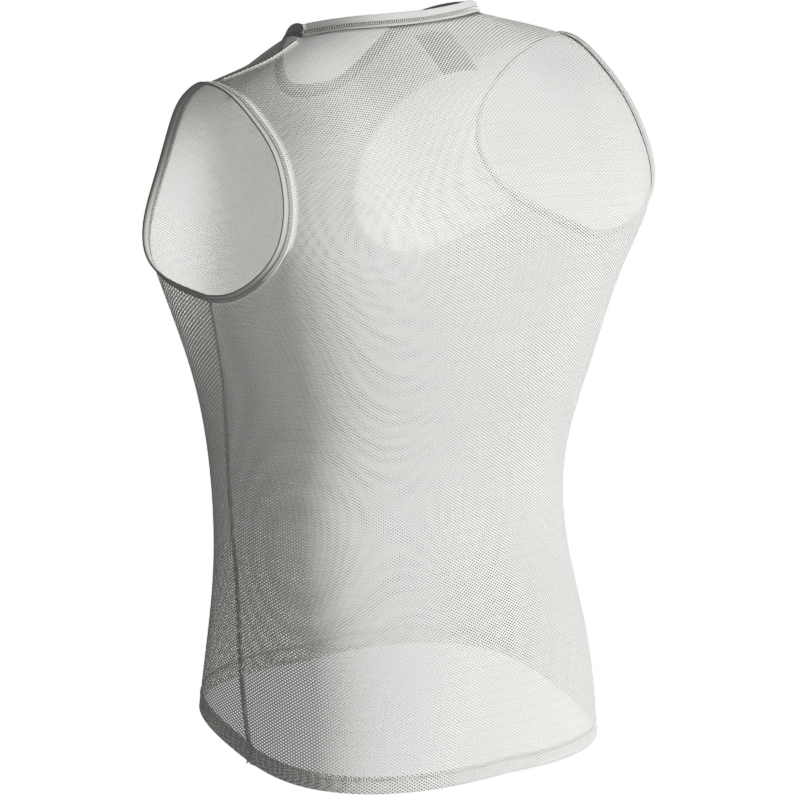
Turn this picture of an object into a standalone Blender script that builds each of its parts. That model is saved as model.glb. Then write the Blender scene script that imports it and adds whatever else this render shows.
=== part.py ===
"""Sleeveless base layer of sheer knitted net, hollow and standing as it is worn.

The maker cuts a back panel, a front panel, a neck strip, two armhole strips and a neck patch, and
each is one solid here.  The cloth follows one form: rings around a general torso, stacked from the
crown of the shoulders down to the hem.  A place on the cloth is given by `across`, the length along
the ring from the centre back or centre front, and `down`, the length down from the shoulder seam.
Sizes in the tables are millimetres.  The wearer faces -Y and the wearer's left is +X; the origin is
on the centre plane between the shoulder seams, where the garment is held up.
"""
import math

import bmesh
import bpy
import numpy as np

MM = 0.001
CLOTH = 1.0            # wall of every piece of cloth
GAP = 0.3              # air between two pieces where they are sewn
STRIP_GAP = 0.42       # air on each side of a cut edge inside a folded strip
SEAM_BACK = 0.27       # each panel's edge from the seam line, so the inner corners keep GAP
CROWN = 30.0           # the form's crown above the origin, where the neck hole takes it away
CROWN_ROUND = 25.0     # radius with which the form rolls over the shoulder seam
NECK_STRIP = 9.5       # finished height of the folded neck strip
ARM_STRIP = 8.0        # finished width of the folded armhole strips
TUCK = 4.0             # cut edge of a panel held inside a folded strip
HEM_TURN = 14.0        # hem turned up inside
HEM_ROLL = 0.7         # radius of the hem's fold, to the middle of the cloth
SHARE_RINGS = 240      # points along half a ring when its length is measured

# rings of the form: half width, depth in front and behind, how square each half is (2 is an
# ellipse), and how much of the shoulder line's fall and set-back the ring still has
RINGS = (
    # down, half_width, front, back, front_square, back_square, shoulder_share
    (0, 242, 0, 0, 2.6, 2.6, 1.00),
    (15, 243, 20, 26, 2.6, 2.8, 1.00),
    (37, 244, 46, 51, 2.7, 3.4, 0.95),
    (67, 246, 69, 81, 2.9, 3.6, 0.86),
    (107, 247, 87, 106, 3.0, 3.5, 0.66),
    (148, 243, 98, 125, 3.0, 3.3, 0.44),
    (188, 234, 106, 134, 2.8, 3.1, 0.26),
    (232, 220, 109, 134, 2.6, 2.6, 0.14),
    (324, 186, 105, 120, 2.4, 2.4, 0.00),
    (404, 168, 107, 100, 2.3, 2.3, 0.00),
    (484, 168, 104, 107, 2.3, 2.3, 0.00),
    (544, 176, 103, 126, 2.4, 2.3, 0.00),
    (645, 187, 108, 132, 2.6, 2.4, 0.00),
)
# the shoulder line seen from above and from the front
SHOULDER = (
    # out, set_back, fall
    (0, -5, 0),
    (60, -3, 7),
    (105, 0, 19),
    (150, 9, 31),
    (202, -2, 46),
    (250, -16, 64),
)
# how far the side seam lies behind the form's widest point
SIDE_SEAM = (
    # down, behind
    (232, 16),
    (324, -4),
    (404, -20),
    (484, -10),
    (584, 12),
    (645, 32),
)
# height of the hem's fold round half the garment: share 0 is the centre back, 1 the centre front
HEM = (
    # share, down
    (0.00, 638),
    (0.30, 637),
    (0.42, 627),
    (0.60, 594),
    (0.72, 584),
    (1.00, 583),
)
SHOULDER_TIP = 208.0   # cloth from the centre line to the end of the shoulder seam
NECK_POINT = 106.0     # cloth from the centre line to the shoulder seam's start
UNDERARM = 232.0       # down to the point where the side seam starts
# seam lines where the folded strips are sewn on, from the top of each
BACK_NECK = ((0, 28), (40, 23), (80, 11), (NECK_POINT, 0))                  # across, down
FRONT_NECK = ((0, 107), (29, 101), (54, 78), (74, 42), (97, 12), (NECK_POINT, 0))
BACK_ARMHOLE = ((SHOULDER_TIP, 0), (207, 35), (207, 71), (210, 114), (218, 158), (237, 208),
                (259, 228))
FRONT_ARMHOLE = ((SHOULDER_TIP, 0), (200, 37), (188, 79), (184, 127), (198, 173), (232, 211))
# how the neck strip stands up from its seam line, by share of the way from back to front
NECK_STAND = (
    # share, inward, upward
    (0.0, 0.15, 1.0),
    (0.5, 0.80, 0.7),
    (1.0, 0.45, 0.9),
)
PATCH_ACROSS = 20.0    # half width of the neck patch
PATCH_DOWN = (36.0, 68.0)
PATCH_SAG = 0.2        # extra air behind the patch for the flat faces of the panel

NECK_COLUMNS, SHOULDER_COLUMNS, SIDE_COLUMNS = 8, 5, 5
ARM_ROWS, BODY_ROWS = 9, 18      # rows beside the upright part of the armhole, and below it
UPRIGHT = 0.66                   # share of the armhole edge that runs beside the rows

CLOTH_COLOUR = (0.80, 0.81, 0.78)
STRIP_COLOUR = (0.84, 0.84, 0.82)
PATCH_COLOUR = (0.24, 0.25, 0.25)


def smooth(rows, keys):
    """Values of a table's columns at the keys, on the even curve through its rows."""
    table = np.array(rows, float)
    x, y = table[:, 0], table[:, 1:]
    step = np.diff(x)
    weights, pulls = np.eye(len(x)), np.zeros_like(y)
    for k in range(1, len(x) - 1):
        weights[k, k - 1:k + 2] = step[k - 1], 2 * (step[k - 1] + step[k]), step[k]
        pulls[k] = 6 * ((y[k + 1] - y[k]) / step[k] - (y[k] - y[k - 1]) / step[k - 1])
    bend = np.linalg.solve(weights, pulls)
    keys = np.clip(np.asarray(keys, float), x[0], x[-1])
    i = np.clip(np.searchsorted(x, keys, side="right") - 1, 0, len(x) - 2)
    wide = step[i][..., None]
    t = (keys - x[i])[..., None] / wide
    near, far = 1 - t, t
    return (near * y[i] + far * y[i + 1]
            + wide ** 2 / 6 * ((near ** 3 - near) * bend[i] + (far ** 3 - far) * bend[i + 1]))


def along(points, shares):
    """Points at shares of the length of a smooth curve through a few given points."""
    p = np.array(points, float)
    length = np.concatenate([[0.0], np.cumsum(np.linalg.norm(np.diff(p, axis=0), axis=1))])
    fine = smooth(np.column_stack([length, p]), np.linspace(0.0, length[-1], 400))
    run = np.concatenate([[0.0], np.cumsum(np.linalg.norm(np.diff(fine, axis=0), axis=1))])
    at = np.asarray(shares) * run[-1]
    return np.column_stack([np.interp(at, run, fine[:, k]) for k in range(fine.shape[1])])


RING_CACHE = {}


def half_ring(down):
    """Half a ring on the left, from centre back to centre front, with its running cloth length."""
    key = round(float(down), 4)
    if key not in RING_CACHE:
        width, front, back, front_sq, back_sq, share = smooth(RINGS, key)
        turn = np.linspace(0.0, math.pi, SHARE_RINGS + 1)
        s, c = np.sin(turn), np.cos(turn)
        square = np.where(c >= 0, back_sq, front_sq)
        reach = (np.abs(s) ** square + np.abs(c) ** square) ** (-1.0 / square)
        x = width * s * reach
        y = np.where(c >= 0, back, front) * c * reach
        set_back, fall = smooth(SHOULDER, np.abs(x)).T
        drop = math.hypot(key, CROWN_ROUND) - CROWN_ROUND
        ring = np.column_stack([x, y + share * set_back, CROWN - drop - share * fall])
        run = np.linalg.norm(np.diff(ring, axis=0), axis=1)
        RING_CACHE[key] = ring, np.concatenate([[0.0], np.cumsum(run)])
    return RING_CACHE[key]


def half_girth(down):
    return half_ring(down)[1][-1]


def cloth_point(side, across, down):
    """The middle of the cloth at a place on the back or front, on the wearer's left."""
    ring, run = half_ring(max(down, 0.0))
    at = across if side == "back" else run[-1] - across
    return np.array([np.interp(at, run, ring[:, k]) for k in range(3)])


def cloth_out(side, across, down):
    """Direction straight out of the cloth at a place."""
    step = 1.5
    sideways = cloth_point(side, across + step, down) - cloth_point(side, across - step, down)
    low = cloth_point(side, across, down + step)
    high = cloth_point(side, across, max(down - step, 0.02))
    out = np.cross(sideways, low - high)
    if side == "front":
        out = -out
    return out / np.linalg.norm(out)


def seam_across(side, down):
    """Cloth from the centre line to the side seam at a height."""
    ring, run = half_ring(down)
    widest = run[SHARE_RINGS // 2]
    from_back = widest - smooth(SIDE_SEAM, down)[0]
    return from_back if side == "back" else run[-1] - from_back


def armhole(side, shares):
    given = BACK_ARMHOLE if side == "back" else FRONT_ARMHOLE
    return along(given + ((seam_across(side, UNDERARM), UNDERARM),), shares)


def neckline(side, shares):
    return along(BACK_NECK if side == "back" else FRONT_NECK, shares)


def hem_down(side, across):
    """Down to the hem's fold at a length from the centre line."""
    down = 610.0
    for _ in range(4):
        share = across / half_girth(down)
        down = smooth(HEM, share if side == "back" else 1.0 - share)[0]
    return down


def hem_seam(side):
    """Where the side seam reaches the hem's fold."""
    across = seam_across(side, 610.0)
    for _ in range(6):
        across = seam_across(side, hem_down(side, across))
    return across


def patch_between(top, left, right, bottom):
    """Places filling four edges, with rows as far apart as they are along the two sides."""
    rows, columns = len(left) - 1, len(top) - 1
    v = (left[:, 1] - left[0, 1]) / (left[-1, 1] - left[0, 1])
    v = 0.5 * (v + (right[:, 1] - right[0, 1]) / (right[-1, 1] - right[0, 1]))
    w = np.linspace(0, 1, columns + 1)
    grid = np.zeros((rows + 1, columns + 1, 2))
    for j in range(rows + 1):
        for i in range(columns + 1):
            ends = ((1 - w[i]) * ((1 - v[j]) * top[0] + v[j] * bottom[0])
                    + w[i] * ((1 - v[j]) * top[-1] + v[j] * bottom[-1]))
            grid[j, i] = ((1 - v[j]) * top[i] + v[j] * bottom[i]
                          + (1 - w[i]) * left[j] + w[i] * right[j] - ends)
    grid[0], grid[-1], grid[:, 0], grid[:, -1] = top, bottom, left, right
    return grid


def panel_places(side):
    """Half a panel: the rows from neck and shoulder down, and the side block under the armhole."""
    neck = neckline(side, np.linspace(0, 1, NECK_COLUMNS + 1))
    tip = (SHOULDER_TIP, 0.0)
    shoulder = along((neck[-1], tip), np.linspace(0, 1, SHOULDER_COLUMNS + 1))
    top = np.vstack([neck, shoulder[1:]])
    edge = armhole(side, arm_shares())
    corner = edge[ARM_ROWS]
    foot = hem_seam(side)
    columns = NECK_COLUMNS + SHOULDER_COLUMNS
    part = corner[0] / seam_across(side, UNDERARM)
    inside = part * foot
    a = np.concatenate([np.linspace(0, inside, columns + 1),
                        np.linspace(inside, foot, SIDE_COLUMNS + 1)[1:]])
    bottom = np.array([(x, hem_down(side, x) - HEM_TURN) for x in a])
    split = np.array([(part * seam_across(side, max(d, UNDERARM)), d)
                      for d in np.linspace(corner[1], bottom[columns, 1], BODY_ROWS + 1)])
    split[-1] = bottom[columns]
    outer = np.vstack([edge[:ARM_ROWS + 1], split[1:]])
    height = (outer[:, 1] - outer[0, 1]) / (outer[-1, 1] - outer[0, 1])
    centre = np.column_stack([0 * height, top[0, 1] + height * (bottom[0, 1] - top[0, 1])])
    body = patch_between(top, centre, outer, bottom[:columns + 1])
    seam = np.array([(seam_across(side, d), d)
                     for d in np.linspace(UNDERARM, bottom[-1, 1], BODY_ROWS + 1)])
    under = patch_between(edge[ARM_ROWS:], split, seam, bottom[columns:])
    return body, under


def arm_shares():
    """Shares of the armhole edge at its points: beside the rows first, then over the side block."""
    upright = np.linspace(0, UPRIGHT, ARM_ROWS + 1)
    return np.concatenate([upright, np.linspace(UPRIGHT, 1, SIDE_COLUMNS + 1)[1:]])


def set_apart(body, under):
    """Move a panel's shoulder and side edges back by half of the air in the seams."""
    def step(point, towards):
        way = towards - point
        return point + SEAM_BACK * way / np.linalg.norm(way)
    for i in range(NECK_COLUMNS, len(body[0])):
        body[0][i] = step(body[0][i], body[1][i])
    for row in under:
        row[-1] = step(row[-1], row[-2])


def leave_direction(side, line, i):
    """Direction along the cloth, off the panel, at a point of an armhole seam line."""
    a, d = line[i]
    before, after = line[max(i - 1, 0)], line[min(i + 1, len(line) - 1)]
    if i == 0:
        off = np.array([1.0, 0.0])
    elif i == len(line) - 1:
        off = np.array([0.0, -1.0])
    else:
        off = np.array([after[1] - before[1], before[0] - after[0]])
    off /= np.linalg.norm(off)
    away = cloth_point(side, a + ARM_STRIP * off[0], d + ARM_STRIP * off[1]) - cloth_point(side, a, d)
    return away / np.linalg.norm(away)


def stand_direction(side, point, share):
    """Direction in which the neck strip stands at a point of the neck seam line."""
    way = 0.5 * share if side == "back" else 1.0 - 0.5 * share
    inward, upward = smooth(NECK_STAND, way)
    flat = np.array([-point[0], -20.0 - point[1], 0.0])
    stand = inward * flat / np.linalg.norm(flat) + np.array([0.0, 0.0, upward])
    return stand / np.linalg.norm(stand)


def frames(stations):
    """Each station of a closed seam line as point, way off the panel and way out of the cloth."""
    made = []
    for i, (point, off) in enumerate(stations):
        run = stations[(i + 1) % len(stations)][0] - stations[i - 1][0]
        run /= np.linalg.norm(run)
        off = off - off.dot(run) * run
        off /= np.linalg.norm(off)
        made.append((point, off, np.cross(run, off)))
    return made


def new_object(name, verts, faces, colour, mirror=False, wall=CLOTH):
    """One named solid: a sheet at the middle of the cloth, given its wall by Solidify."""
    mesh = bpy.data.meshes.new(name)
    mesh.from_pydata([tuple(MM * v for v in p) for p in verts], [], faces)
    work = bmesh.new()
    work.from_mesh(mesh)
    bmesh.ops.recalc_face_normals(work, faces=work.faces)
    work.to_mesh(mesh)
    work.free()
    mesh.polygons.foreach_set("use_smooth", [True] * len(mesh.polygons))
    material = bpy.data.materials.new(name)
    material.use_nodes = True
    shader = material.node_tree.nodes["Principled BSDF"]
    shader.inputs["Base Color"].default_value = (*colour, 1.0)
    shader.inputs["Roughness"].default_value = 0.85
    mesh.materials.append(material)
    thing = bpy.data.objects.new(name, mesh)
    PART.objects.link(thing)
    if mirror:
        halves = thing.modifiers.new("halves", "MIRROR")
        halves.merge_threshold = 0.00005
    shell = thing.modifiers.new("wall", "SOLIDIFY")
    shell.thickness = MM * wall
    shell.offset = 0.0
    shell.use_even_offset = True
    shell.use_quality_normals = True
    return thing


def sheet(rows):
    """Vertices and faces of a sheet given as rows of points."""
    count = len(rows[0])
    verts = [p for row in rows for p in row]
    faces = [(j * count + i, j * count + i + 1, (j + 1) * count + i + 1, (j + 1) * count + i)
             for j in range(len(rows) - 1) for i in range(count - 1)]
    return verts, faces


def build_panel(side):
    """A panel: its face, the tucks inside the neck and armhole strips, and the turned-up hem."""
    body, under = panel_places(side)
    hem = np.vstack([body[-1], under[-1][1:]])
    body = [[cloth_point(side, *place) for place in row] for row in body]
    under = [[cloth_point(side, *place) for place in row] for row in under]
    set_apart(body, under)
    # from the underarm down the two blocks share their rows; the last row goes on as the hem:
    # down to the fold, round it, and up again inside
    lower = [left + right[1:] for left, right in zip(body[ARM_ROWS:], under)]
    fold, inner = [], []
    for i, (a, d) in enumerate(hem):
        out = cloth_out(side, a, d + HEM_TURN / 2)
        bottom = cloth_point(side, a, d + HEM_TURN - HEM_ROLL)
        if i == len(hem) - 1:
            bottom += lower[-1][-1] - cloth_point(side, a, d)
        fold.append((bottom, out))
        inner.append(lower[-1][i] - 2 * HEM_ROLL * out)
    roll = []
    for angle in (0, 60, 120, 180):
        turn = math.radians(angle)
        roll.append([p - HEM_ROLL * (1 - math.cos(turn)) * out
                     - HEM_ROLL * math.sin(turn) * np.array([0.0, 0.0, 1.0]) for p, out in fold])
    verts, faces = sheet(lower + roll + [inner])
    wide = len(body[0])
    upper_first = len(verts)
    verts += [p for row in body[:ARM_ROWS] for p in row]
    def upper(j, i):
        return upper_first + j * wide + i if j < ARM_ROWS else i
    faces += [(upper(j, i), upper(j, i + 1), upper(j + 1, i + 1), upper(j + 1, i))
              for j in range(ARM_ROWS) for i in range(wide - 1)]
    # the cut edges held inside the neck strip and the armhole strip
    neck_edge = [upper(0, i) for i in range(NECK_COLUMNS + 1)]
    arm_edge = [upper(j, wide - 1) for j in range(ARM_ROWS)]
    arm_edge += [wide - 1 + i for i in range(SIDE_COLUMNS + 1)]
    for edge, line in ((neck_edge, frames(neck_stations())), (arm_edge, frames(armhole_stations()))):
        whole = len(edge) - 1
        first = len(verts)
        for k, corner in enumerate(edge):
            station = k if side == "back" else (2 * whole - k) % len(line)
            verts.append(verts[corner] + TUCK * line[station][1])
        faces += [(edge[k], edge[k + 1], first + k + 1, first + k) for k in range(whole)]
    return new_object(f"{side}_panel", verts, faces, CLOTH_COLOUR, mirror=True)


def strip_section(width):
    """A folded strip seen end on: places off the seam line and out of the cloth."""
    reach = CLOTH + STRIP_GAP
    turn = width - 0.5 * CLOTH - reach
    fold = [(turn + reach * math.sin(a), reach * math.cos(a))
            for a in (math.radians(d) for d in (0, 45, 90, 135, 180))]
    return [(1.1, reach)] + fold + [(1.1, -reach)]


def build_strip(name, stations, width):
    """A strip folded over a cut edge: a section carried round the seam line."""
    section = strip_section(width)
    rings = [[point + a * off + b * out for a, b in section]
             for point, off, out in frames(stations)]
    count = len(section)
    verts, faces = sheet(rings + rings[:1])
    whole = len(rings) * count
    return new_object(name, verts[:whole], [tuple(k % whole for k in f) for f in faces],
                      STRIP_COLOUR)


def armhole_stations():
    """Points and directions round the left armhole, down the back edge and up the front edge."""
    stations = []
    for side in ("back", "front"):
        line = armhole(side, arm_shares())
        made = [(cloth_point(side, *line[i]), leave_direction(side, line, i))
                for i in range(len(line))]
        stations.append(made if side == "back" else made[::-1])
    down_back, up_front = stations
    return down_back + up_front[1:-1]


def neck_stations():
    """Points and directions round the neck, from the centre back over the left shoulder."""
    half = []
    for side in ("back", "front"):
        line = neckline(side, np.linspace(0, 1, NECK_COLUMNS + 1))
        made = []
        for i, (a, d) in enumerate(line):
            point = cloth_point(side, a, d)
            made.append((point, stand_direction(side, point, i / NECK_COLUMNS)))
        half.append(made if side == "back" else made[::-1])
    left = half[0] + half[1][1:]
    flip = np.array([-1.0, 1.0, 1.0])
    right = [(p * flip, o * flip) for p, o in left[1:-1]][::-1]
    return left + right


def build_patch():
    """The plain patch fixed inside the back neck, laid on the panel's inner face."""
    away = CLOTH + GAP + PATCH_SAG
    rows = []
    for down in np.linspace(*PATCH_DOWN, 9):
        row = []
        for across in np.linspace(-PATCH_ACROSS, PATCH_ACROSS, 7):
            mirror = np.array([1.0 if across >= 0 else -1.0, 1.0, 1.0])
            point = cloth_point("back", abs(across), down) * mirror
            out = cloth_out("back", max(abs(across), 2.0), down) * mirror
            row.append(point - away * out)
        rows.append(row)
    verts, faces = sheet(rows)
    return new_object("neck_patch", verts, faces, PATCH_COLOUR)


for leftover in list(bpy.data.objects):
    bpy.data.objects.remove(leftover, do_unlink=True)
PART = bpy.data.collections.new("sleeveless_base_layer")
bpy.context.scene.collection.children.link(PART)

build_panel("back")
build_panel("front")
build_strip("neck_binding", neck_stations(), NECK_STRIP)
left = armhole_stations()
across_x = np.array([-1.0, 1.0, 1.0])
build_strip("armhole_binding_left", left, ARM_STRIP)
build_strip("armhole_binding_right", [(p * across_x, o * across_x) for p, o in left], ARM_STRIP)
build_patch()
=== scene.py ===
"""Looks of the sleeveless base layer: net panels, folded knit strips, stitches, patch and light.

The cloth follows the same form as the solids: rings around a general torso, stacked from the crown
of the shoulders down to the hem.  A place on the cloth is given by `across`, the length along the
ring from the centre back or centre front, and `down`, the length down from the shoulder seam.
Sizes in the tables and functions are millimetres; meshes are made in metres.
"""
import math

import bpy
import numpy as np
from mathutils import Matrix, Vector


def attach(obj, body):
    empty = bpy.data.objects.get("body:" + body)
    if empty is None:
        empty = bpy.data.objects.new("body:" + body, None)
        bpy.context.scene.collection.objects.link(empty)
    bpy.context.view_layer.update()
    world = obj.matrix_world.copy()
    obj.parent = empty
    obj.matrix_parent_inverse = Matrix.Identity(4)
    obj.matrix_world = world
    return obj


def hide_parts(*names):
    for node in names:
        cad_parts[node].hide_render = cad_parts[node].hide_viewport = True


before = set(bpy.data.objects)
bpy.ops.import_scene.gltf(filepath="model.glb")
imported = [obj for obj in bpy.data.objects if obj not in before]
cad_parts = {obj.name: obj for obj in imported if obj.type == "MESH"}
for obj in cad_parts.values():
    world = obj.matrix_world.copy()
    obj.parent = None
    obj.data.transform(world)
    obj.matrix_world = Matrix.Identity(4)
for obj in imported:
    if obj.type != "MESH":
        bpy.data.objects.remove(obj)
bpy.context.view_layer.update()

MM = 0.001
MIRROR = np.array([-1.0, 1.0, 1.0])
CROWN = 30.0           # the form's crown above the origin, where the neck hole takes it away
CROWN_ROUND = 25.0     # radius with which the form rolls over the shoulder seam
NECK_STRIP = 9.5       # finished height of the folded neck strip
ARM_STRIP = 8.0        # finished width of the folded armhole strips
TUCK = 4.0             # cut edge of a panel held inside a folded strip
HEM_TURN = 14.0        # hem turned up inside
HEM_ROLL = 0.7         # radius of the hem's fold
SEAM_TURN = 3.0        # seam allowance turned inside along the side and shoulder seams
SEAM_GAP = 0.6         # from the middle of the panel to the middle of its allowance
NET_WALL = 0.22        # thickness of the net
STRIP_WALL = 0.55      # thickness of the strips' knit
STRIP_START = -0.6     # the strips' cut edges, off the seam line
STRIP_RISE = 0.35      # where the strips have risen from the panel to their full thickness
STRIP_CUT = 0.45       # from the panel's middle to the middle of the knit, at a cut edge
STRIP_HALF = 0.95      # and from the rise to the fold
STRIP_SWELL = 0.1      # how much more that is halfway to the fold, on the outside
STRIP_TURN = 7.0       # about where the strips' fold begins, for the stitches' lean
STRIP_LEAN = 2.4       # how far a strip's folded edge leans in from the panel's line
THREAD = 0.24          # radius of the sewing thread
STITCH = 2.0           # length of a stitch
STITCH_GAP = 0.1       # share of a stitch that is hidden in the cloth at each end
RUNG_PAST = 0.2        # how far the rungs of a cover stitch run past its two rows
RUNG_LIFT = 0.08       # how far the rungs stand out from the rows
RUNG_THICK = 1.5       # how many times as thick as the rows' thread the rungs are
STITCH_FACE = 1.33     # from the panel's middle to the stitches on a strip
NECK_STITCHES = (1.0, 4.2)    # the two rows of stitches, off the seam line
ARM_STITCHES = (1.0, 3.8)
HEM_STITCHES = (-4.0, -1.2)   # the same, up from the upper edge of the turned hem
HEM_STATIONS = 50      # places along half the hem where its stitches' line is worked out
HEM_STEP = 2.0         # up the cloth from a place on it, for the way that is up there
STITCHED = (1.3, 4.9)  # the band of a strip's knit that the stitches hold, from its cut edge, painted darker as their shade
HELD_SHADE = 0.8       # how much darker the painted shade of the stitches makes the knit there, from its light colour to its dark one
HEM_GUESS = 610.0      # down to about the hem, where the search for its fold begins
OFF_CENTRE = 2.0       # nearest to a centre line or the shoulder seam that out is worked out
OUT_STEP = 1.5         # from a place to those beside it from which out is worked out
TOP = 0.02             # down, just off the shoulder seam
ON_CENTRE = 0.01       # a vertex nearer to the centre plane than this is on it
RUN_ACROSS = 90.0      # the lengths down the cloth are measured here, beside the neck
RUN_DOWN = 640.0       # and so far down
RUN_STEPS = 321        # at so many places
NECK_MIDDLE = -20.0    # y of the neck hole's middle, to which the neck strip leans
SHARE_RINGS = 240      # steps along half a ring when its length is measured

RINGS = (
    # down, half_width, front, back, front_square, back_square, shoulder_share
    (0, 242, 0, 0, 2.6, 2.6, 1.00),
    (15, 243, 20, 26, 2.6, 2.8, 1.00),
    (37, 244, 46, 51, 2.7, 3.4, 0.95),
    (67, 246, 69, 81, 2.9, 3.6, 0.86),
    (107, 247, 87, 106, 3.0, 3.5, 0.66),
    (148, 243, 98, 125, 3.0, 3.3, 0.44),
    (188, 234, 106, 134, 2.8, 3.1, 0.26),
    (232, 220, 109, 134, 2.6, 2.6, 0.14),
    (324, 186, 105, 120, 2.4, 2.4, 0.00),
    (404, 168, 107, 100, 2.3, 2.3, 0.00),
    (484, 168, 104, 107, 2.3, 2.3, 0.00),
    (544, 176, 103, 126, 2.4, 2.3, 0.00),
    (645, 187, 108, 132, 2.6, 2.4, 0.00),
)
SHOULDER = (
    # out, set_back, fall
    (0, -5, 0),
    (60, -3, 7),
    (105, 0, 19),
    (150, 9, 31),
    (202, -2, 46),
    (250, -16, 64),
)
SIDE_SEAM = (
    # down, behind the form's widest point
    (232, 16),
    (324, -4),
    (404, -20),
    (484, -10),
    (584, 12),
    (645, 32),
)
HEM = (
    # share of the way from centre back to centre front, down
    (0.00, 638),
    (0.30, 637),
    (0.42, 627),
    (0.60, 594),
    (0.72, 584),
    (1.00, 583),
)
SHOULDER_TIP = 208.0   # across, where the shoulder seam meets the armhole
NECK_POINT = 106.0     # across, where it meets the neck
UNDERARM = 232.0       # down, where the side seam meets the armhole
# edges of the left half of a panel, as places across and down
BACK_NECK = ((0, 28), (40, 23), (80, 11), (NECK_POINT, 0))
FRONT_NECK = ((0, 107), (29, 101), (54, 78), (74, 42), (97, 12), (NECK_POINT, 0))
BACK_ARMHOLE = ((SHOULDER_TIP, 0), (207, 35), (207, 71), (210, 114), (218, 158), (237, 208),
                (259, 228))
FRONT_ARMHOLE = ((SHOULDER_TIP, 0), (200, 37), (188, 79), (184, 127), (198, 173), (232, 211))
NECK_STAND = (
    # share of the way from back to front, inward, upward
    (0.0, 0.15, 1.0),
    (0.5, 0.80, 0.7),
    (1.0, 0.45, 0.9),
)
PATCH_ACROSS = 20.0    # half its width
PATCH_DOWN = (36.0, 68.0)
PATCH_INSIDE = 1.3     # from the middle of the back panel in to the middle of the patch
PATCH_WALL = 0.5
PATCH_GRID = (17, 13)  # rows down and points across

NET_CELL = (4.3, 2.5)  # across and down: a hole at each corner of a cell and one in its middle
NET_HOLE = 0.86        # radius of a round hole as large as the net's oval ones
NET_OVAL = 1.15        # how many times wider they are than that, and less high
NET_EDGE = 0.12        # half the width over which the thread fades at a hole's edge
NET_CROWN = 2.1        # the thread is thickest this many times the radius off the nearest hole, and lightest there in its painted shade
TIGHT_COURSE = 10.0    # from one tighter course to the next
TIGHT_FROM = 0.9       # where a wave from -1 to 1 is above this, the course is tighter
TIGHT_SHADE = 0.7      # how much darker it shows, from the thread's light colour to its dark one
NET_SHADE = 0.3        # share of a lamp's light held back at each face of a hole, as by fine thread
NET_COLOUR = (0.83, 0.83, 0.797)
STRIP_COLOUR = (0.46, 0.46, 0.44)
PATCH_COLOUR = (0.02, 0.021, 0.021)
THREAD_COLOUR = (0.86, 0.86, 0.83)
KNIT_LOOP = (0.9, 1.1)  # a loop of the strips' knit along the strip and across it
TAPE_WEAVE = 1.6       # from one thread of the patch's tape to the next but one
PLACE_SHIFT = 1000.0   # added to places in the cloth, so that all are above zero
UNEVEN = 0.06          # how uneven the cloths' colours are
UNEVEN_SCALE = 55.0
TWIST_SCALE = 2500.0

CAMERA_AIM = (0.0, 0.0, -0.2787)
CAMERA_TURN, CAMERA_RISE, CAMERA_AWAY = 46.0, 10.3, 6.0
CAMERA_LENS, CAMERA_SENSOR = 333.0, 36.0
CAMERA_SHIFT = (0.0106, -0.025)
CAMERA_CLIP = (0.1, 200.0)
FLOOR_REACH, FLOOR_LOW = 30.0, -1.45
FILL = 0.18            # strength of the even light
SUNS = (
    # name, turn, rise (from below where it is negative), strength, angle across
    ("key", -37.0, 8.0, 4.7, 1.5),
    ("soft", -14.0, -30.0, 1.3, 30.0),
)
INNER_LAMP = (0.03, 0.06, -0.08)
INNER_TARGET = (0.20, -0.05, -0.17)   # the inside of the left chest
INNER_POWER, INNER_RADIUS, INNER_SPREAD = 2.3, 0.03, 70.0
BRIGHTEST = 1.1        # light that comes out as full white, and that of the bare backdrop
BEHIND_ONE = 0.55      # the backdrop's light behind one wall of net
BEHIND_TWO = 0.32      # and behind two
SEE_THROUGH = 24       # most faces of net that a ray may pass
FILM = (
    # light as a share of the brightest, shown
    (0.0, 0.0),
    (0.12, 0.12),
    (0.25, 0.27),
    (0.38, 0.45),
    (0.50, 0.61),
    (0.60, 0.69),
    (0.75, 0.77),
    (0.86, 0.86),
    (1.0, 1.0),
)

# faces across half a panel, and down it beside the armhole and below that
NECK_COLUMNS, SHOULDER_COLUMNS, SIDE_COLUMNS = 32, 20, 20
ARM_ROWS, BODY_ROWS = 36, 72
UPRIGHT = 0.66         # share of the armhole edge beside the rows; the side block is under the rest


def smooth(rows, keys):
    """Values of a table's columns at the keys, on the even curve through its rows."""
    table = np.array(rows, float)
    x, y = table[:, 0], table[:, 1:]
    step = np.diff(x)
    weights, pulls = np.eye(len(x)), np.zeros_like(y)
    for k in range(1, len(x) - 1):
        weights[k, k - 1:k + 2] = step[k - 1], 2 * (step[k - 1] + step[k]), step[k]
        pulls[k] = 6 * ((y[k + 1] - y[k]) / step[k] - (y[k] - y[k - 1]) / step[k - 1])
    bend = np.linalg.solve(weights, pulls)
    keys = np.clip(np.asarray(keys, float), x[0], x[-1])
    i = np.clip(np.searchsorted(x, keys, side="right") - 1, 0, len(x) - 2)
    wide = step[i][..., None]
    t = (keys - x[i])[..., None] / wide
    near, far = 1 - t, t
    return (near * y[i] + far * y[i + 1]
            + wide ** 2 / 6 * ((near ** 3 - near) * bend[i] + (far ** 3 - far) * bend[i + 1]))


def along(points, shares):
    """Points at shares of the length of a smooth curve through a few given points."""
    p = np.array(points, float)
    length = np.concatenate([[0.0], np.cumsum(np.linalg.norm(np.diff(p, axis=0), axis=1))])
    fine = smooth(np.column_stack([length, p]), np.linspace(0.0, length[-1], 400))
    run = np.concatenate([[0.0], np.cumsum(np.linalg.norm(np.diff(fine, axis=0), axis=1))])
    at = np.asarray(shares) * run[-1]
    return np.column_stack([np.interp(at, run, fine[:, k]) for k in range(fine.shape[1])])


RING_CACHE = {}


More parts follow.
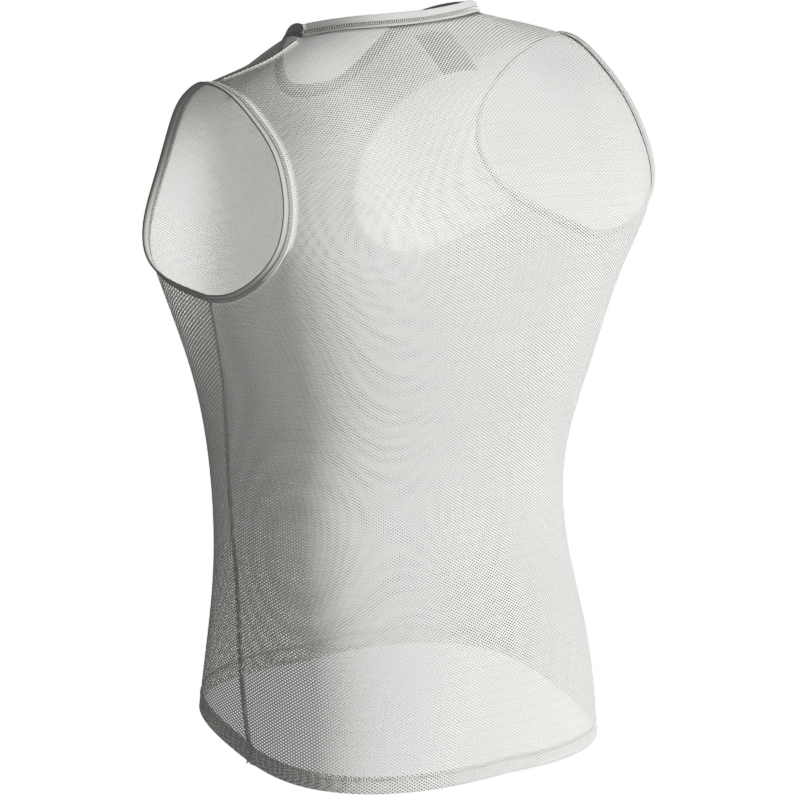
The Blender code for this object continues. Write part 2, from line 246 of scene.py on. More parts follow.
def half_ring(down):
    """Half a ring on the left, from centre back to centre front, with its running cloth length."""
    key = round(float(down), 4)
    if key not in RING_CACHE:
        width, front, back, front_sq, back_sq, share = smooth(RINGS, key)
        turn = np.linspace(0.0, math.pi, SHARE_RINGS + 1)
        s, c = np.sin(turn), np.cos(turn)
        square = np.where(c >= 0, back_sq, front_sq)
        reach = (np.abs(s) ** square + np.abs(c) ** square) ** (-1.0 / square)
        x = width * s * reach
        y = np.where(c >= 0, back, front) * c * reach
        set_back, fall = smooth(SHOULDER, np.abs(x)).T
        drop = math.hypot(key, CROWN_ROUND) - CROWN_ROUND
        ring = np.column_stack([x, y + share * set_back, CROWN - drop - share * fall])
        run = np.linalg.norm(np.diff(ring, axis=0), axis=1)
        RING_CACHE[key] = ring, np.concatenate([[0.0], np.cumsum(run)])
    return RING_CACHE[key]


def half_girth(down):
    return half_ring(down)[1][-1]


def cloth_point(side, across, down):
    """The middle of the cloth at a place on the back or front, on the wearer's left."""
    ring, run = half_ring(max(down, 0.0))
    at = across if side == "back" else run[-1] - across
    return np.array([np.interp(at, run, ring[:, k]) for k in range(3)])


def cloth_out(side, across, down):
    """Direction straight out of the cloth at a place."""
    right = cloth_point(side, across + OUT_STEP, down)
    sideways = right - cloth_point(side, across - OUT_STEP, down)
    low = cloth_point(side, across, down + OUT_STEP)
    high = cloth_point(side, across, max(down - OUT_STEP, TOP))
    out = np.cross(sideways, low - high)
    if side == "front":
        out = -out
    return out / np.linalg.norm(out)


def seam_across(side, down):
    """Cloth from the centre line to the side seam at a height."""
    ring, run = half_ring(down)
    widest = run[SHARE_RINGS // 2]
    from_back = widest - smooth(SIDE_SEAM, down)[0]
    return from_back if side == "back" else run[-1] - from_back


def armhole(side, shares):
    given = BACK_ARMHOLE if side == "back" else FRONT_ARMHOLE
    return along(given + ((seam_across(side, UNDERARM), UNDERARM),), shares)


def neckline(side, shares):
    return along(BACK_NECK if side == "back" else FRONT_NECK, shares)


def hem_down(side, across):
    """Down to the hem's fold at a length from the centre line."""
    down = HEM_GUESS
    for _ in range(4):
        share = across / half_girth(down)
        down = smooth(HEM, share if side == "back" else 1.0 - share)[0]
    return down


def hem_seam(side):
    """Where the side seam reaches the hem's fold."""
    across = seam_across(side, HEM_GUESS)
    for _ in range(6):
        across = seam_across(side, hem_down(side, across))
    return across


def patch_between(top, left, right, bottom):
    """Places filling four edges, with rows as far apart as they are along the two sides."""
    rows, columns = len(left) - 1, len(top) - 1
    v = (left[:, 1] - left[0, 1]) / (left[-1, 1] - left[0, 1])
    v = 0.5 * (v + (right[:, 1] - right[0, 1]) / (right[-1, 1] - right[0, 1]))
    w = np.linspace(0, 1, columns + 1)
    grid = np.zeros((rows + 1, columns + 1, 2))
    for j in range(rows + 1):
        for i in range(columns + 1):
            ends = ((1 - w[i]) * ((1 - v[j]) * top[0] + v[j] * bottom[0])
                    + w[i] * ((1 - v[j]) * top[-1] + v[j] * bottom[-1]))
            grid[j, i] = ((1 - v[j]) * top[i] + v[j] * bottom[i]
                          + (1 - w[i]) * left[j] + w[i] * right[j] - ends)
    grid[0], grid[-1], grid[:, 0], grid[:, -1] = top, bottom, left, right
    return grid


def arm_shares():
    """Shares of the armhole edge at its points: beside the rows first, then over the side block."""
    upright = np.linspace(0, UPRIGHT, ARM_ROWS + 1)
    return np.concatenate([upright, np.linspace(UPRIGHT, 1, SIDE_COLUMNS + 1)[1:]])


def panel_places(side):
    """Half a panel: the rows from neck and shoulder down, and the side block under the armhole."""
    neck = neckline(side, np.linspace(0, 1, NECK_COLUMNS + 1))
    shoulder = along((neck[-1], (SHOULDER_TIP, 0.0)), np.linspace(0, 1, SHOULDER_COLUMNS + 1))
    top = np.vstack([neck, shoulder[1:]])
    edge = armhole(side, arm_shares())
    corner = edge[ARM_ROWS]
    foot = hem_seam(side)
    columns = NECK_COLUMNS + SHOULDER_COLUMNS
    part = corner[0] / seam_across(side, UNDERARM)
    inside = part * foot
    a = np.concatenate([np.linspace(0, inside, columns + 1),
                        np.linspace(inside, foot, SIDE_COLUMNS + 1)[1:]])
    bottom = np.array([(x, hem_down(side, x) - HEM_TURN) for x in a])
    split = np.array([(part * seam_across(side, max(d, UNDERARM)), d)
                      for d in np.linspace(corner[1], bottom[columns, 1], BODY_ROWS + 1)])
    split[-1] = bottom[columns]
    outer = np.vstack([edge[:ARM_ROWS + 1], split[1:]])
    height = (outer[:, 1] - outer[0, 1]) / (outer[-1, 1] - outer[0, 1])
    centre = np.column_stack([0 * height, top[0, 1] + height * (bottom[0, 1] - top[0, 1])])
    body = patch_between(top, centre, outer, bottom[:columns + 1])
    seam = np.array([(seam_across(side, d), d)
                     for d in np.linspace(UNDERARM, bottom[-1, 1], BODY_ROWS + 1)])
    under = patch_between(edge[ARM_ROWS:], split, seam, bottom[columns:])
    return body, under


def leave_direction(side, line, i):
    """Direction along the cloth, off the panel, at a point of an armhole seam line."""
    a, d = line[i]
    before, after = line[max(i - 1, 0)], line[min(i + 1, len(line) - 1)]
    if i == 0:
        off = np.array([1.0, 0.0])
    elif i == len(line) - 1:
        off = np.array([0.0, -1.0])
    else:
        off = np.array([after[1] - before[1], before[0] - after[0]])
    off /= np.linalg.norm(off)
    far = cloth_point(side, a + ARM_STRIP * off[0], d + ARM_STRIP * off[1])
    away = far - cloth_point(side, a, d)
    return away / np.linalg.norm(away)


def stand_direction(side, point, share):
    """Direction in which the neck strip stands at a point of the neck seam line."""
    way = 0.5 * share if side == "back" else 1.0 - 0.5 * share
    inward, upward = smooth(NECK_STAND, way)
    flat = np.array([-point[0], NECK_MIDDLE - point[1], 0.0])
    stand = inward * flat / np.linalg.norm(flat) + np.array([0.0, 0.0, upward])
    return stand / np.linalg.norm(stand)


def frames(stations):
    """Each station of a closed seam line as point, way off the panel and way out of the cloth."""
    made = []
    for i, (point, off) in enumerate(stations):
        run = stations[(i + 1) % len(stations)][0] - stations[i - 1][0]
        run /= np.linalg.norm(run)
        off = off - off.dot(run) * run
        off /= np.linalg.norm(off)
        made.append((point, off, np.cross(run, off)))
    return made


def armhole_stations():
    """Points and directions round the left armhole, down the back edge and up the front edge."""
    stations = []
    for side in ("back", "front"):
        line = armhole(side, arm_shares())
        made = [(cloth_point(side, *line[i]), leave_direction(side, line, i))
                for i in range(len(line))]
        stations.append(made if side == "back" else made[::-1])
    down_back, up_front = stations
    return down_back + up_front[1:-1]


def neck_stations():
    """Points and directions round the neck, from the centre back over the left shoulder."""
    half = []
    for side in ("back", "front"):
        line = neckline(side, np.linspace(0, 1, NECK_COLUMNS + 1))
        made = []
        for i, (a, d) in enumerate(line):
            point = cloth_point(side, a, d)
            made.append((point, stand_direction(side, point, i / NECK_COLUMNS)))
        half.append(made if side == "back" else made[::-1])
    left = half[0] + half[1][1:]
    right = [(p * MIRROR, o * MIRROR) for p, o in left[1:-1]][::-1]
    return left + right


ARM_LINE = frames(armhole_stations())
NECK_LINE = frames(neck_stations())


class Cloth:
    """Vertices in millimetres, faces, and for each vertex its place in the cloth, for the weave."""

    def __init__(self):
        self.points, self.places, self.faces = [], [], []
        self.same = {}     # a vertex that stands for another one, where a ring closes

    def row(self, points, places):
        first = len(self.points)
        self.points += [np.asarray(p, float) for p in points]
        self.places += [tuple(p) for p in places]
        return list(range(first, len(self.points)))

    def join(self, upper, lower):
        """Faces between two rows of vertices."""
        self.faces += [(upper[i], upper[i + 1], lower[i + 1], lower[i])
                       for i in range(len(upper) - 1)]

    def mirrored(self):
        """The same cloth with its right half: vertices on the centre plane are shared."""
        whole = Cloth()
        whole.points, whole.places = list(self.points), list(self.places)
        whole.faces = list(self.faces)
        twin = []
        for k, p in enumerate(self.points):
            if abs(p[0]) < ON_CENTRE:
                twin.append(k)
            else:
                twin.append(len(whole.points))
                whole.points.append(p * MIRROR)
                whole.places.append((-self.places[k][0], self.places[k][1]))
        whole.faces += [tuple(twin[v] for v in reversed(f)) for f in self.faces]
        return whole


def make_piece(name, cloth, material, node, wall=0.0):
    """A mesh object of the cloth, riding on the part and standing for its CAD node, if any."""
    corners = [cloth.same.get(v, v) for f in cloth.faces for v in f]
    used = sorted(set(corners))
    number = {v: k for k, v in enumerate(used)}
    mesh = bpy.data.meshes.new(name)
    mesh.from_pydata([tuple(MM * v for v in cloth.points[k]) for k in used], [],
                     [[number[cloth.same.get(v, v)] for v in f] for f in cloth.faces])
    layer = mesh.uv_layers.new(name="cloth")
    places = np.array([cloth.places[v] for f in cloth.faces for v in f], np.float32) * MM
    layer.data.foreach_set("uv", places.ravel())
    mesh.polygons.foreach_set("use_smooth", [True] * len(mesh.polygons))
    mesh.materials.append(material)
    thing = bpy.data.objects.new(name, mesh)
    bpy.context.scene.collection.objects.link(thing)
    if wall:
        shell = thing.modifiers.new("wall", "SOLIDIFY")
        shell.thickness = MM * wall
        shell.offset = 0.0
        shell.use_quality_normals = True
    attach(thing, "root")
    if node:
        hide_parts(node)
    return thing


def cloth_run(side):
    """Cloth length down the panel, as a table from down to length, taken beside the neck."""
    steps = np.linspace(0.0, RUN_DOWN, RUN_STEPS)
    line = np.array([cloth_point(side, RUN_ACROSS, d) for d in steps])
    run = np.concatenate([[0.0], np.cumsum(np.linalg.norm(np.diff(line, axis=0), axis=1))])
    return steps, run


def add_allowance(half, seam, near, outs, sideways):
    """A seam's allowance, turned inside and laid against the panel's inner face."""
    width, over = (SEAM_TURN, 0.0) if sideways else (0.0, -SEAM_TURN)
    fold, edge = [], []
    for k, n, out in zip(seam, near, outs):
        back = half.points[n] - half.points[k]
        fold.append(half.points[k] - SEAM_GAP * out)
        edge.append(fold[-1] + SEAM_TURN * back / np.linalg.norm(back))
    places = [half.places[k] for k in seam]
    turned = half.row(fold, places)
    half.join(seam, turned)
    half.join(turned, half.row(edge, [(a + width, d + over) for a, d in places]))


def add_tuck(half, edge, line, side):
    """A cut edge running on into the fold of the neck strip or the armhole strip."""
    last = len(edge) - 1
    across, down = (TUCK, 0.0) if line is ARM_LINE else (0.0, -TUCK)
    points, places = [], []
    for k, corner in enumerate(edge):
        station = k if side == "back" else (2 * last - k) % len(line)
        points.append(half.points[corner] + TUCK * line[station][1])
        a, d = half.places[corner]
        places.append((a + across, d + down))
    half.join(edge, half.row(points, places))


def add_hem(half, side, last, hem, place):
    """The hem: down to the fold, round it, and up again inside."""
    outs = [cloth_out(side, a, d + HEM_TURN / 2) for a, d in hem]
    fall = HEM_TURN - HEM_ROLL
    steps = []
    for share in (0.33, 0.66, 1.0):
        steps.append(([cloth_point(side, a, d + share * fall) for a, d in hem], share * fall))
    foot = steps[-1][0]
    for angle in range(30, 181, 30):
        turn = math.radians(angle)
        steps.append(([p - HEM_ROLL * (1 - math.cos(turn)) * out
                       - HEM_ROLL * math.sin(turn) * np.array([0.0, 0.0, 1.0])
                       for p, out in zip(foot, outs)], fall + HEM_ROLL * turn))
    for share in (0.66, 0.33, 0.0):
        steps.append(([cloth_point(side, a, d + share * fall) - 2 * HEM_ROLL * out
                       for (a, d), out in zip(hem, outs)], (2 - share) * HEM_TURN))
    for line, further in steps:
        new = half.row(line, [place(a, d, further) for a, d in hem])
        half.join(last, new)
        last = new


def build_panel(side, material):
    """A net panel, its edges tucked into the strips, its seams turned in, its hem turned up."""
    body, under = panel_places(side)
    steps, run = cloth_run(side)

    def place(a, d, further=0.0):
        return a, np.interp(d, steps, run) + further

    half = Cloth()
    wide = len(body[0])
    rows = []
    for j, row in enumerate(body):
        line = [tuple(p) for p in row]
        if j >= ARM_ROWS:
            line += [tuple(p) for p in under[j - ARM_ROWS][1:]]
        rows.append(half.row([cloth_point(side, *p) for p in line], [place(*p) for p in line]))
    for j in range(len(rows) - 1):
        half.join(rows[j][:wide], rows[j + 1][:wide])
        if j >= ARM_ROWS:
            half.join(rows[j][wide - 1:], rows[j + 1][wide - 1:])
    add_hem(half, side, rows[-1], [tuple(p) for p in body[-1]] + [tuple(p) for p in under[-1][1:]],
            place)
    # the panel's last column over the armhole's rows, then the side block's first row
    arm_edge = [row[wide - 1] for row in rows[:ARM_ROWS + 1]] + rows[ARM_ROWS][wide:]
    add_tuck(half, rows[0][:NECK_COLUMNS + 1], NECK_LINE, side)
    add_tuck(half, arm_edge, ARM_LINE, side)
    add_allowance(half, [row[-1] for row in rows[ARM_ROWS:]], [row[-2] for row in rows[ARM_ROWS:]],
                  [cloth_out(side, *row[-1]) for row in under], sideways=True)
    add_allowance(half, rows[0][NECK_COLUMNS + 1:-1], rows[1][NECK_COLUMNS + 1:-1],
                  [cloth_out(side, a, max(d, OFF_CENTRE)) for a, d in body[0][NECK_COLUMNS + 1:-1]],
                  sideways=False)
    return make_piece(f"net_{side}", half.mirrored(), material, f"{side}_panel",
                      wall=NET_WALL)


def strip_section(width):
    """A folded strip seen end on: places off the seam line and out of the cloth."""
    half = STRIP_HALF
    turn = width - 0.5 * STRIP_WALL - half
    lean = STRIP_LEAN / turn ** 2

    def leaning(places):
        return [(a, b - lean * max(a, 0.0) ** 2) for a, b in places]

    outer = [(STRIP_START, STRIP_CUT), (STRIP_RISE, half), (0.5 * turn, half + STRIP_SWELL),
             (turn, half)]
    fold = [(turn + half * math.sin(a), half * math.cos(a))
            for a in (math.radians(d) for d in range(30, 181, 30))]
    inner = [(0.5 * turn, -half), (STRIP_RISE, -half), (STRIP_START, -STRIP_CUT)]
    return leaning(outer + fold + inner)


def build_strip(name, line, width, material, node, turned=1.0):
    """A knit strip folded over a cut edge: a section carried round the closed seam line."""
    section = strip_section(width)
    steps = np.linalg.norm(np.diff(np.array(section), axis=0), axis=1)
    up = np.concatenate([[0.0], np.cumsum(steps)])
    cloth = Cloth()
    run, rows = 0.0, []
    for i, (point, off, out) in enumerate(line + line[:1]):
        if i:
            run += np.linalg.norm(point - line[i - 1][0])
        rows.append(cloth.row([(point + a * off + b * out) * (turned, 1.0, 1.0)
                               for a, b in section], [(run, min(u, up[-1] - u)) for u in up]))
    for upper, lower in zip(rows, rows[1:]):
        cloth.join(upper, lower)
    cloth.same = dict(zip(rows[-1], rows[0]))
    return make_piece(name, cloth, material, node, wall=STRIP_WALL)


def build_patch(material):
    """The small patch that lies inside the back panel below the neck strip."""
    cloth = Cloth()
    rows = []
    for down in np.linspace(*PATCH_DOWN, PATCH_GRID[0]):
        points, places = [], []
        for across in np.linspace(-PATCH_ACROSS, PATCH_ACROSS, PATCH_GRID[1]):
            mirror = MIRROR if across < 0 else 1.0
            point = cloth_point("back", abs(across), down) * mirror
            out = cloth_out("back", max(abs(across), OFF_CENTRE), down) * mirror
            points.append(point - PATCH_INSIDE * out)
            places.append((across, down))
        rows.append(cloth.row(points, places))
    for upper, lower in zip(rows, rows[1:]):
        cloth.join(upper, lower)
    return make_piece("patch_neck", cloth, material, "neck_patch", wall=PATCH_WALL)


def walk(line, pitch, closed):
    """Frames a stitch apart along a line of frames."""
    table = np.array([np.concatenate(f) for f in (line + line[:1] if closed else line)])
    steps = np.linalg.norm(np.diff(table[:, :3], axis=0), axis=1)
    run = np.concatenate([[0.0], np.cumsum(steps)])
    at = np.linspace(0.0, run[-1], round(run[-1] / pitch) + 1)
    even = np.column_stack([np.interp(at, run, table[:, k]) for k in range(9)])
    return [np.split(row, 3) for row in even]


def add_stitch(cloth, a, b, out, radius):
    """One visible stitch: a spindle from a to b, thickest in its middle."""
    side = np.cross(b - a, out)
    side *= radius / np.linalg.norm(side)
    lift = radius * out
    middle = 0.5 * (a + b)
    tips = cloth.row([a, b], [(0.0, 0.0), (np.linalg.norm(b - a), 0.0)])
    ring = cloth.row([middle + side, middle + lift, middle - side, middle - lift], [(0.0, 0.0)] * 4)
    for k in range(4):
        nearby = ring[(k + 1) % 4]
        cloth.faces += [(nearby, ring[k], tips[1]), (ring[k], nearby, tips[0])]


def add_cover_stitch(cloth, line, low, high, height, closed):
    """Two rows of stitches with rungs of thread between them, as a cover stitch shows."""
    stations = walk(line, STITCH, closed)
    face = math.copysign(1.0, height)
    lean = STRIP_LEAN / STRIP_TURN ** 2 if closed else 0.0

    def spot(station, reach, further=0.0):
        point, off, out = station
        return point + reach * off + (height + face * further - lean * reach ** 2) * out

    for here, following in zip(stations, stations[1:]):
        for reach in (low, high):
            a, b = spot(here, reach), spot(following, reach)
            hidden = STITCH_GAP * (b - a)
            add_stitch(cloth, a + hidden, b - hidden, face * here[2], THREAD)
        add_stitch(cloth, spot(here, low - RUNG_PAST, RUNG_LIFT),
                   spot(here, high + RUNG_PAST, RUNG_LIFT), face * here[2], RUNG_THICK * THREAD)


def build_stitches(name, lines, material, turned=1.0):
    """The cover stitches along some lines, each with its low and high reach and its height."""
    cloth = Cloth()
    for line, low, high, height, closed in lines:
        add_cover_stitch(cloth, line, low, high, height, closed)
    cloth.points = [p * (turned, 1.0, 1.0) for p in cloth.points]
    if turned < 0:
        cloth.faces = [f[::-1] for f in cloth.faces]
    return make_piece(name, cloth, material, None)


def hem_line(side):
    """Frames along the upper edge of the turned-up hem, from one side seam to the other."""
    left = []
    for a in np.linspace(0.0, hem_seam(side), HEM_STATIONS):
        d = hem_down(side, a) - HEM_TURN
        point = cloth_point(side, a, d)
        rise = cloth_point(side, a, d - HEM_STEP) - point
        left.append((point, rise / np.linalg.norm(rise), cloth_out(side, max(a, OFF_CENTRE), d)))
    return [tuple(v * MIRROR for v in f) for f in left[:0:-1]] + left


def node_of(tree, kind, **inputs):
    """A node with some of its inputs set, or linked where a socket is given; i0 is the first."""
    made = tree.nodes.new(kind)
    for key, value in inputs.items():
        numbered = key[0] == "i" and key[1:].isdigit()
        socket = made.inputs[int(key[1:]) if numbered else key]
        if isinstance(value, bpy.types.NodeSocket):
            tree.links.new(value, socket)
        else:
            socket.default_value = value
    return made


def maths(tree, operation, a, b=0.0, c=0.0):
    made = node_of(tree, "ShaderNodeMath", i0=a, i1=b, i2=c)
    made.operation = operation
    return made.outputs[0]


def cloth_places(tree):
    """The two places in the cloth in millimetres, each well above zero."""
    uv = tree.nodes.new("ShaderNodeUVMap")
    uv.uv_map = "cloth"
    parts = node_of(tree, "ShaderNodeSeparateXYZ", i0=uv.outputs[0])
    return [maths(tree, "MULTIPLY_ADD", parts.outputs[k], 1.0 / MM, PLACE_SHIFT) for k in (0, 1)]


def wave(tree, value, pitch):
    """From -1 to 1 and back over each pitch."""
    return maths(tree, "SINE", maths(tree, "MULTIPLY", value, 2 * math.pi / pitch))


def shade_by(tree, shader, height, dark, light):
    """Colour from dark to light by a height from 0 to 1, as painted shade in the low places, and
    slightly uneven over the cloth.
    """
    patchy = node_of(tree, "ShaderNodeTexNoise", Scale=UNEVEN_SCALE, Detail=3.0)
    coordinates = tree.nodes.new("ShaderNodeTexCoord")
    tree.links.new(coordinates.outputs["Object"], patchy.inputs["Vector"])
    spread = maths(tree, "MULTIPLY_ADD", patchy.outputs[0], UNEVEN, -0.5 * UNEVEN)
    ramp = node_of(tree, "ShaderNodeMix", i0=maths(tree, "ADD", height, spread))
    ramp.data_type = "RGBA"
    ramp.inputs[6].default_value = (*dark, 1.0)
    ramp.inputs[7].default_value = (*light, 1.0)
    tree.links.new(ramp.outputs[2], shader.inputs["Base Color"])


def raise_by(tree, shader, height, strength, distance):
    bump = node_of(tree, "ShaderNodeBump", Strength=strength, Distance=MM * distance, Height=height)
    tree.links.new(bump.outputs[0], shader.inputs["Normal"])


def new_material(name, colour, roughness, sheen):
    material = bpy.data.materials.new(name)
    material.use_nodes = True
    tree = material.node_tree
    shader = tree.nodes["Principled BSDF"]
    shader.inputs["Base Color"].default_value = (*colour, 1.0)
    shader.inputs["Roughness"].default_value = roughness
    shader.inputs["Specular IOR Level"].default_value = 0.2
    shader.inputs["Sheen Weight"].default_value = sheen
    shader.inputs["Sheen Roughness"].default_value = 0.5
    return material, tree, shader


def net_material():
    """White knitted net: oval holes in a staggered lattice, the thread thickest between them.

    The thread's colour is painted shade, darker towards each hole's edge where it curves away.
    For lamps the holes hold back some light, as the finest thread across them would.
    """
    material, tree, shader = new_material("net_cloth", NET_COLOUR, roughness=0.8, sheen=0.1)
    places = cloth_places(tree)
    gaps = []
    for shift in (0.0, 0.5):
        squares = []
        for value, pitch, squeeze in zip(places, NET_CELL, (1.0 / NET_OVAL, NET_OVAL)):
            cells = maths(tree, "FRACT", maths(tree, "MULTIPLY_ADD", value, 1.0 / pitch, shift))
            off = maths(tree, "MULTIPLY_ADD", cells, squeeze * pitch, -0.5 * squeeze * pitch)
            squares.append(maths(tree, "MULTIPLY", off, off))
        gaps.append(maths(tree, "SQRT", maths(tree, "ADD", *squares)))
    away = maths(tree, "MINIMUM", *gaps)
    solid = node_of(tree, "ShaderNodeMapRange", i0=away, i1=NET_HOLE - NET_EDGE,
                    i2=NET_HOLE + NET_EDGE)
    shadow = maths(tree, "MULTIPLY", tree.nodes.new("ShaderNodeLightPath").outputs["Is Shadow Ray"],
                   NET_SHADE)
    tree.links.new(maths(tree, "MAXIMUM", solid.outputs[0], shadow), shader.inputs["Alpha"])
    round_thread = node_of(tree, "ShaderNodeMapRange", i0=away, i1=NET_HOLE,
                           i2=NET_CROWN * NET_HOLE)
    raise_by(tree, shader, round_thread.outputs[0], 0.5, 0.35)
    # every few rows a course is knitted tighter, and shows as a thin darker line
    course = maths(tree, "GREATER_THAN", wave(tree, places[1], TIGHT_COURSE), TIGHT_FROM)
    thread = maths(tree, "MULTIPLY_ADD", course, -TIGHT_SHADE, round_thread.outputs[0])
    # painted shade: the thread's colour darkens towards each hole's edge, where it curves down into
    # the hole
    shade_by(tree, shader, thread, [0.8 * c for c in NET_COLOUR], NET_COLOUR)
    return material


def strip_material():
    """Fine plain knit: courses across the strip and wales along it, with painted shade in its
    hollows and under the cover stitch.
    """
    material, tree, shader = new_material("strip_knit", STRIP_COLOUR, roughness=0.85, sheen=0.15)
    along_strip, up_strip = cloth_places(tree)
    loops = maths(tree, "MULTIPLY", wave(tree, along_strip, KNIT_LOOP[0]),
                  wave(tree, up_strip, KNIT_LOOP[1]))
    height = maths(tree, "MULTIPLY_ADD", loops, 0.5, 0.5)
    raise_by(tree, shader, height, 0.5, 0.15)
    # painted shade: the knit is darker where the cover stitch holds it down, as in the shade of the
    # threads
    above = maths(tree, "GREATER_THAN", up_strip, PLACE_SHIFT + STITCHED[0])
    below = maths(tree, "LESS_THAN", up_strip, PLACE_SHIFT + STITCHED[1])
    stitch_shadow_band = maths(tree, "MULTIPLY", above, below)
    # painted shade: the hollows between the knit's loops are darker
    light = maths(tree, "MULTIPLY_ADD", height, 0.3, 0.7)
    shade_by(tree, shader, maths(tree, "MULTIPLY_ADD", stitch_shadow_band, -HELD_SHADE, light),
             [0.45 * c for c in STRIP_COLOUR], STRIP_COLOUR)
    return material


def patch_material():
    """Dark plain-woven tape, its raised crossings painted lighter and the hollows between them
    darker, as light and shade.
    """
    material, tree, shader = new_material("patch_tape", PATCH_COLOUR, roughness=0.8, sheen=0.1)
    across, down = cloth_places(tree)
    crossings = maths(tree, "MULTIPLY", wave(tree, across, TAPE_WEAVE),
                      wave(tree, down, TAPE_WEAVE))
    height = maths(tree, "MULTIPLY_ADD", crossings, 0.5, 0.5)
    raise_by(tree, shader, height, 0.5, 0.12)
    # painted light and shade: the raised crossings lighter, the hollows between them darker
    shade_by(tree, shader, height, [0.7 * c for c in PATCH_COLOUR], [1.5 * c for c in PATCH_COLOUR])
    return material


def thread_material():
    """White sewing thread, twisted, painted darker as shade in the low places of the twist."""
    material, tree, shader = new_material("sewing_thread", THREAD_COLOUR, roughness=0.6, sheen=0.2)
    coordinates = tree.nodes.new("ShaderNodeTexCoord")
    twist = node_of(tree, "ShaderNodeTexNoise", Scale=TWIST_SCALE, Detail=1.0)
    tree.links.new(coordinates.outputs["Object"], twist.inputs["Vector"])
    raise_by(tree, shader, twist.outputs[0], 0.3, 0.05)
    # painted shade: the thread darker where the twist's bumps are low
    shade_by(tree, shader, twist.outputs[0], [0.85 * c for c in THREAD_COLOUR], THREAD_COLOUR)
    return material


NET, STRIP, PATCH, SEWING = net_material(), strip_material(), patch_material(), thread_material()

net_back, net_front = build_panel("back", NET), build_panel("front", NET)
strip_neck = build_strip("strip_neck", NECK_LINE, NECK_STRIP, STRIP, "neck_binding")
strip_left = build_strip("strip_armhole_left", ARM_LINE, ARM_STRIP, STRIP, "armhole_binding_left")
strip_right = build_strip("strip_armhole_right", ARM_LINE, ARM_STRIP, STRIP,
                          "armhole_binding_right", turned=-1.0)
patch = build_patch(PATCH)
for strip, line, reaches, turned in (("neck", NECK_LINE, NECK_STITCHES, 1.0),
                                     ("armhole_left", ARM_LINE, ARM_STITCHES, 1.0),
                                     ("armhole_right", ARM_LINE, ARM_STITCHES, -1.0)):
    rows = [(line, *reaches, face * STITCH_FACE, True) for face in (1.0, -1.0)]
    build_stitches(f"stitches_{strip}", rows, SEWING, turned)
for side in ("back", "front"):
    rows = [(hem_line(side), *HEM_STITCHES, 0.5 * NET_WALL + 0.5 * THREAD, False)]
    build_stitches(f"stitches_hem_{side}", rows, SEWING)


def add_camera():
    """The camera at the photograph's angle, far enough away for its flat perspective."""
    camera = bpy.data.objects.new("camera", bpy.data.cameras.new("camera"))
    bpy.context.scene.collection.objects.link(camera)
    camera.data.lens, camera.data.sensor_width = CAMERA_LENS, CAMERA_SENSOR
    camera.data.shift_x, camera.data.shift_y = CAMERA_SHIFT
    camera.data.clip_start, camera.data.clip_end = CAMERA_CLIP
    turn, rise = math.radians(CAMERA_TURN), math.radians(CAMERA_RISE)
    way = np.array([math.sin(turn) * math.cos(rise), math.cos(turn) * math.cos(rise),
                    math.sin(rise)])
    camera.location = tuple(np.array(CAMERA_AIM) + CAMERA_AWAY * way)
    camera.rotation_euler = (math.pi / 2 - rise, 0.0, math.pi - turn)
    bpy.context.scene.camera = camera


def backdrop_light(tree):
    """The backdrop's light: white where it is bare, less behind one wall of net, dim behind two.

    A ray passes two faces of net in each wall, and counts them.
    """
    depth = tree.nodes.new("ShaderNodeLightPath").outputs["Transparent Depth"]
    behind_one = maths(tree, "GREATER_THAN", depth, 0.5)
    behind_two = maths(tree, "GREATER_THAN", depth, 2.5)
    bare = maths(tree, "MULTIPLY_ADD", behind_one, BEHIND_ONE - BRIGHTEST, BRIGHTEST)
    return maths(tree, "MULTIPLY_ADD", behind_two, BEHIND_TWO - BEHIND_ONE, bare)


def add_floor():
    """A white floor that glows to the camera alone, so that the cloth is lit by the lamps."""
    mesh = bpy.data.meshes.new("floor")
    corners = [(-1, -1), (1, -1), (1, 1), (-1, 1)]
    mesh.from_pydata([(FLOOR_REACH * x, FLOOR_REACH * y, FLOOR_LOW) for x, y in corners], [],
                     [(0, 1, 2, 3)])
    floor = bpy.data.objects.new("floor", mesh)
    bpy.context.scene.collection.objects.link(floor)
    material = bpy.data.materials.new("floor")
    material.use_nodes = True
    tree = material.node_tree
    shader = tree.nodes["Principled BSDF"]
    shader.inputs["Base Color"].default_value = (0.0, 0.0, 0.0, 1.0)
    shader.inputs["Specular IOR Level"].default_value = 0.0
    shader.inputs["Emission Color"].default_value = (1.0, 1.0, 1.0, 1.0)
    tree.links.new(backdrop_light(tree), shader.inputs["Emission Strength"])
    mesh.materials.append(material)
    # it holds back no light, as the soft sun shines up from below it
    floor.visible_diffuse = floor.visible_glossy = floor.visible_shadow = False


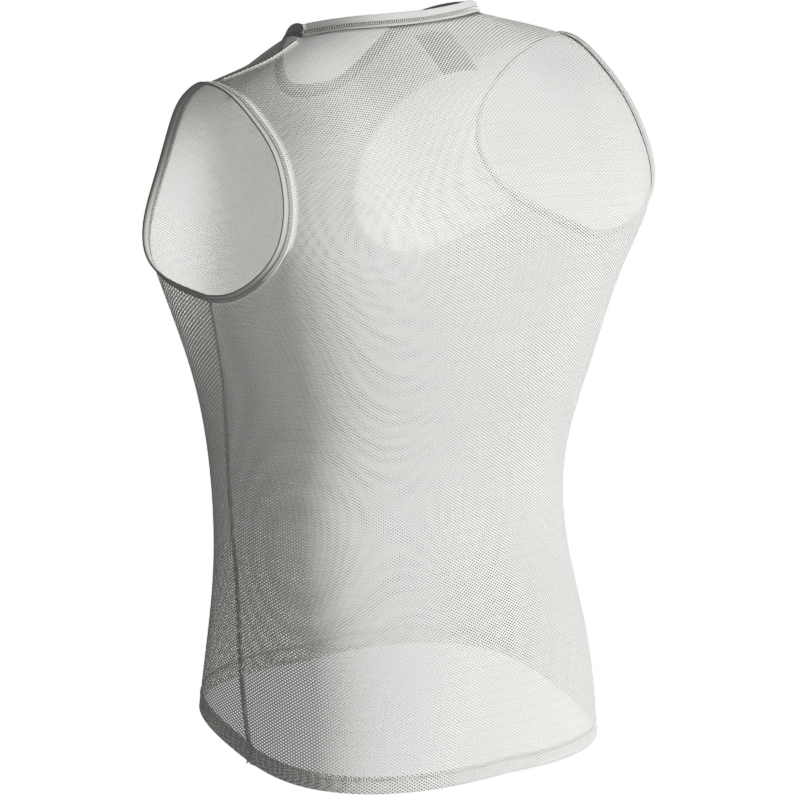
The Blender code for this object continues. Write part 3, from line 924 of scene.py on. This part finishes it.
def add_world():
    """White to the camera, and a dim even light from all round."""
    world = bpy.data.worlds.new("studio")
    bpy.context.scene.world = world
    world.use_nodes = True
    tree = world.node_tree
    light = tree.nodes["Background"]
    light.inputs["Color"].default_value = (1.0, 1.0, 1.0, 1.0)
    light.inputs["Strength"].default_value = FILL
    seen = node_of(tree, "ShaderNodeBackground", Color=(1.0, 1.0, 1.0, 1.0),
                   Strength=backdrop_light(tree))
    path = tree.nodes.new("ShaderNodeLightPath")
    mix = node_of(tree, "ShaderNodeMixShader", i0=path.outputs["Is Camera Ray"],
                  i1=light.outputs[0], i2=seen.outputs[0])
    tree.links.new(mix.outputs[0], tree.nodes["World Output"].inputs["Surface"])


def add_sun(name, turn, rise, strength, angle):
    """A sun whose light comes from `turn` degrees round from behind the wearer, to the left."""
    lamp = bpy.data.lights.new(name, "SUN")
    lamp.energy, lamp.angle = strength, math.radians(angle)
    thing = bpy.data.objects.new(name, lamp)
    thing.rotation_euler = (math.pi / 2 - math.radians(rise), 0.0, math.pi - math.radians(turn))
    bpy.context.scene.collection.objects.link(thing)


def add_inner_lamp():
    """A small lamp inside, which lights the inside that shows through the left armhole."""
    lamp = bpy.data.lights.new("inner", "SPOT")
    lamp.energy, lamp.shadow_soft_size = INNER_POWER, INNER_RADIUS
    lamp.spot_size, lamp.spot_blend = math.radians(INNER_SPREAD), 1.0
    thing = bpy.data.objects.new("inner", lamp)
    thing.location = INNER_LAMP
    aim = Vector(INNER_TARGET) - Vector(INNER_LAMP)
    thing.rotation_euler = aim.to_track_quat("-Z", "Y").to_euler()
    bpy.context.scene.collection.objects.link(thing)


def set_film():
    """The picture's response to light: nearly straight in the shade, gentler on lit white cloth."""
    view = bpy.context.scene.view_settings
    view.view_transform = "Standard"
    view.use_curve_mapping = True
    view.curve_mapping.white_level = (BRIGHTEST, BRIGHTEST, BRIGHTEST)
    combined = view.curve_mapping.curves[3]
    for given, shown in FILM[1:-1]:
        combined.points.new(given, shown)
    for point in combined.points:
        point.handle_type = "AUTO_CLAMPED"
    view.curve_mapping.update()


add_camera()
add_floor()
add_world()
for row in SUNS:
    add_sun(*row)
add_inner_lamp()
set_film()
bpy.context.scene.cycles.transparent_max_bounces = SEE_THROUGH
